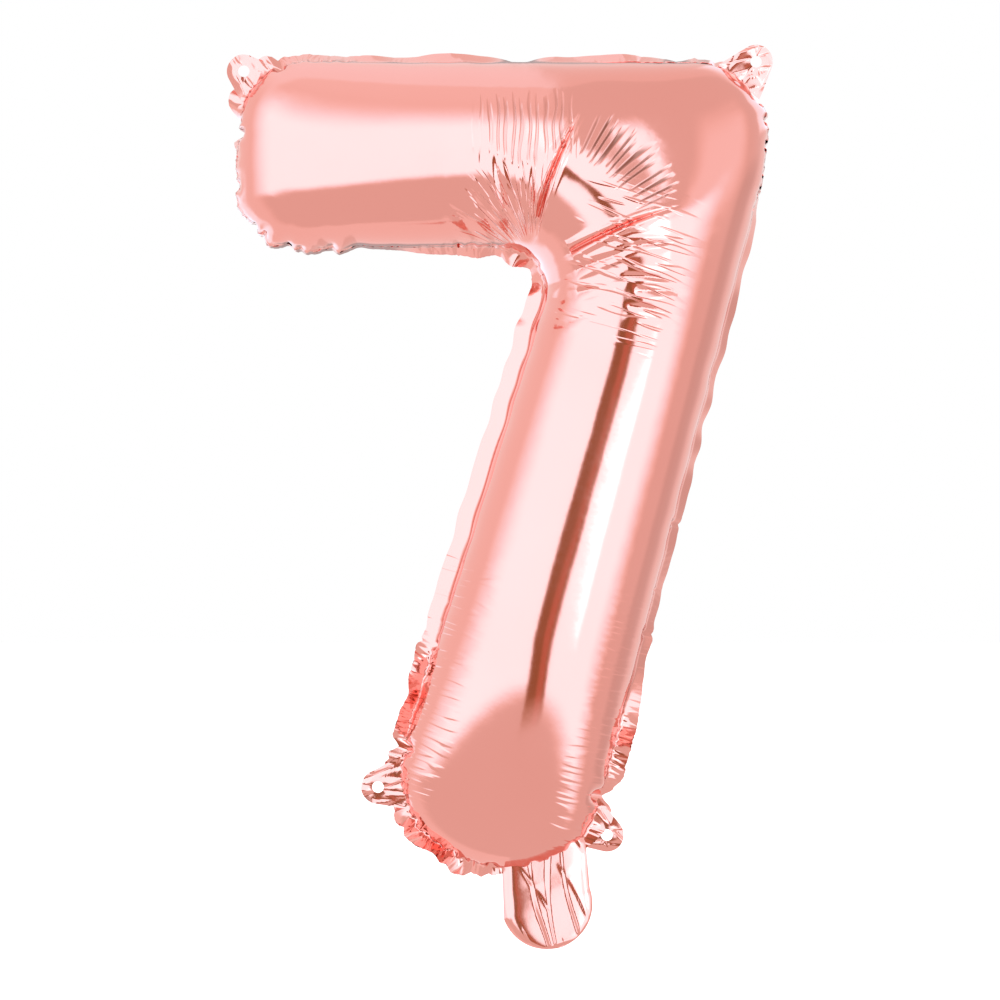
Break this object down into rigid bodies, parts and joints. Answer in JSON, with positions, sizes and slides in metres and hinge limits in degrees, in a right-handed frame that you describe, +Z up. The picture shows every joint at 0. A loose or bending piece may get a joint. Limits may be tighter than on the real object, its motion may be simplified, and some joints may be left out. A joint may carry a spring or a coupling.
{
  "type": "foil number balloon",
  "caption": "Inflated rose gold foil balloon shaped as a seven, with hanging eyelet tabs, a filling neck and an inner flap valve.",
  "frame": {"origin": "midway between the two top eyelets, on the plane of the sealed seam", "axes": "+Z up the hanging balloon, +X to the right seen from the front, the front faces -Y"},
  "size_m": [0.2395, 0.0798, 0.3865],
  "materials": {
    "rose_foil": "mirror-bright metallised plastic film, rose gold lacquer",
    "heat_seal": "fused clear sealing layer between the two foils",
    "valve_film": "soft translucent film",
    "release_coating": "thin matt release coating"
  },
  "bodies": {
    "envelope": {"front_panel": "rose_foil", "back_panel": "rose_foil", "perimeter_weld": "heat_seal", "valve_front_film": "valve_film", "valve_back_film": "valve_film", "valve_side_welds": "valve_film", "valve_release_coating": "release_coating"},
    "neck": {"neck_front_film": "rose_foil", "neck_back_film": "rose_foil", "neck_side_welds": "heat_seal", "valve_inlet_front_film": "valve_film", "valve_inlet_back_film": "valve_film"},
    "hang_tab_top_left": {"hang_tab_top_left_front_film": "rose_foil", "hang_tab_top_left_back_film": "rose_foil", "hang_tab_top_left_weld": "heat_seal"},
    "hang_tab_top_right": {"hang_tab_top_right_front_film": "rose_foil", "hang_tab_top_right_back_film": "rose_foil", "hang_tab_top_right_weld": "heat_seal"},
    "hang_tab_bottom_right": {"hang_tab_bottom_right_front_film": "rose_foil", "hang_tab_bottom_right_back_film": "rose_foil", "hang_tab_bottom_right_weld": "heat_seal"},
    "hang_tab_bottom_left": {"hang_tab_bottom_left_front_film": "rose_foil", "hang_tab_bottom_left_back_film": "rose_foil", "hang_tab_bottom_left_weld": "heat_seal"}
  },
  "joints": [
    {"name": "neck_fold", "type": "hinge", "parent": "envelope", "child": "neck", "pos_m": [0.01909, 0, -0.34253], "axis": [0.9397, 0, 0.342], "range_deg": [-100, 100]},
    {"name": "tab_fold_top_left", "type": "hinge", "parent": "envelope", "child": "hang_tab_top_left", "pos_m": [-0.10553, 0, -0.00567], "axis": [-0.6789, 0, -0.7343], "range_deg": [-80, 80], "stiffness_Nm_per_rad": 0.00003},
    {"name": "tab_fold_top_right", "type": "hinge", "parent": "envelope", "child": "hang_tab_top_right", "pos_m": [0.10602, 0, -0.00213], "axis": [-0.7649, 0, 0.6441], "range_deg": [-80, 80], "stiffness_Nm_per_rad": 0.00003},
    {"name": "tab_fold_bottom_right", "type": "hinge", "parent": "envelope", "child": "hang_tab_bottom_right", "pos_m": [0.04115, 0, -0.32559], "axis": [0.5382, 0, 0.8428], "range_deg": [-80, 80], "stiffness_Nm_per_rad": 0.00003},
    {"name": "tab_fold_bottom_left", "type": "hinge", "parent": "envelope", "child": "hang_tab_bottom_left", "pos_m": [-0.04676, 0, -0.30717], "axis": [0.1531, 0, -0.9882], "range_deg": [-80, 80], "stiffness_Nm_per_rad": 0.00003}
  ]
}
